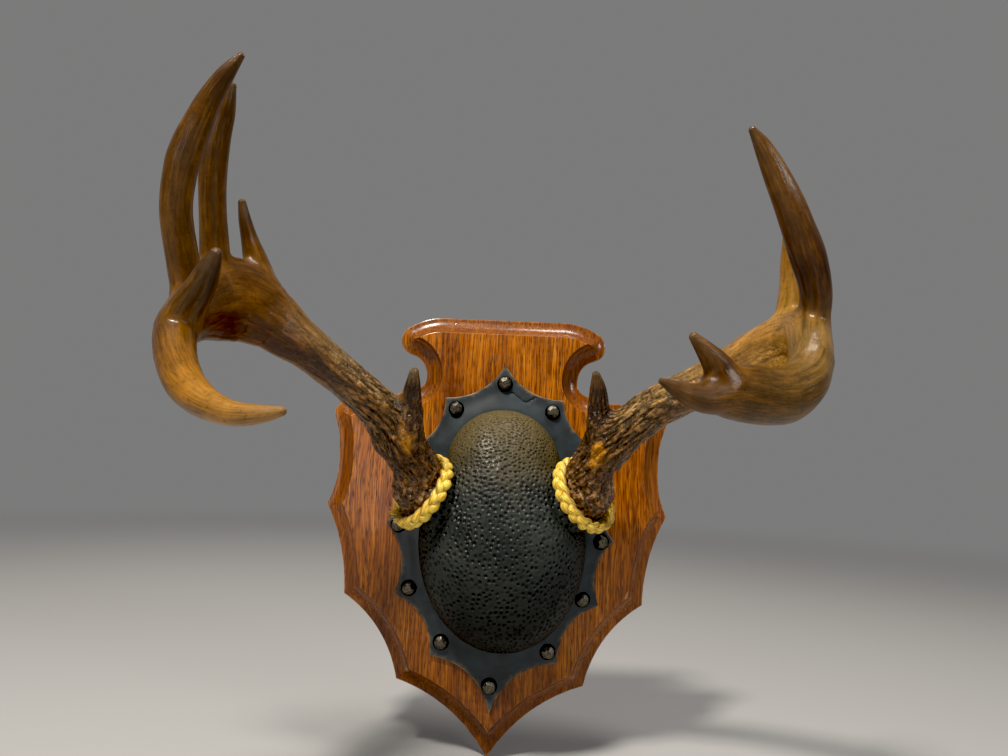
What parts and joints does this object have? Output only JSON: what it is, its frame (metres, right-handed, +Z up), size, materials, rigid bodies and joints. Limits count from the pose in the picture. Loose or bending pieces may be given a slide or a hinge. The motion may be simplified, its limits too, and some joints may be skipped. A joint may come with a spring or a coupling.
{
  "type": "deer antler plaque mount",
  "caption": "White-tailed deer antlers on a shaped wooden wall plaque, with a studded dark skull cover and braided trim round each antler base.",
  "frame": {"origin": "middle of the board's flat back, the face that lies on the wall", "axes": "+X to the viewer's right, +Y into the wall, +Z up"},
  "size_m": [0.3455, 0.282, 0.4026],
  "materials": {
    "oak": "reddish-brown stained open-grained hardwood, gloss varnish",
    "cover": "near-black moulded cover, satin rim and pebbled dome with an olive-brown tint at the top",
    "stud": "antique pewter, hammered facets",
    "braid": "satin gold braided cord, tightly plaited",
    "antler": "lacquered antler, dark grooved bases, amber-brown beams, olive-tan tines"
  },
  "bodies": {
    "root": {"board": "oak", "skull_cover": "cover", "stud_top": "stud", "stud_top_left": "stud", "stud_top_right": "stud", "stud_side_left": "stud", "stud_side_right": "stud", "stud_low_left": "stud", "stud_low_right": "stud", "stud_base_left": "stud", "stud_base_right": "stud", "stud_base": "stud", "rope_left": "braid", "rope_right": "braid", "antler_left_base": "antler", "antler_left_mid": "antler", "antler_left_palm": "antler", "antler_left_hook": "antler", "antler_left_brow": "antler", "antler_left_sticker": "antler", "antler_left_g2": "antler", "antler_left_g3": "antler", "antler_left_g4": "antler", "antler_right_base": "antler", "antler_right_mid": "antler", "antler_right_palm": "antler", "antler_right_hook": "antler", "antler_right_brow": "antler", "antler_right_g2": "antler", "antler_right_g3": "antler", "antler_right_g4": "antler"}
  },
  "joints": []
}
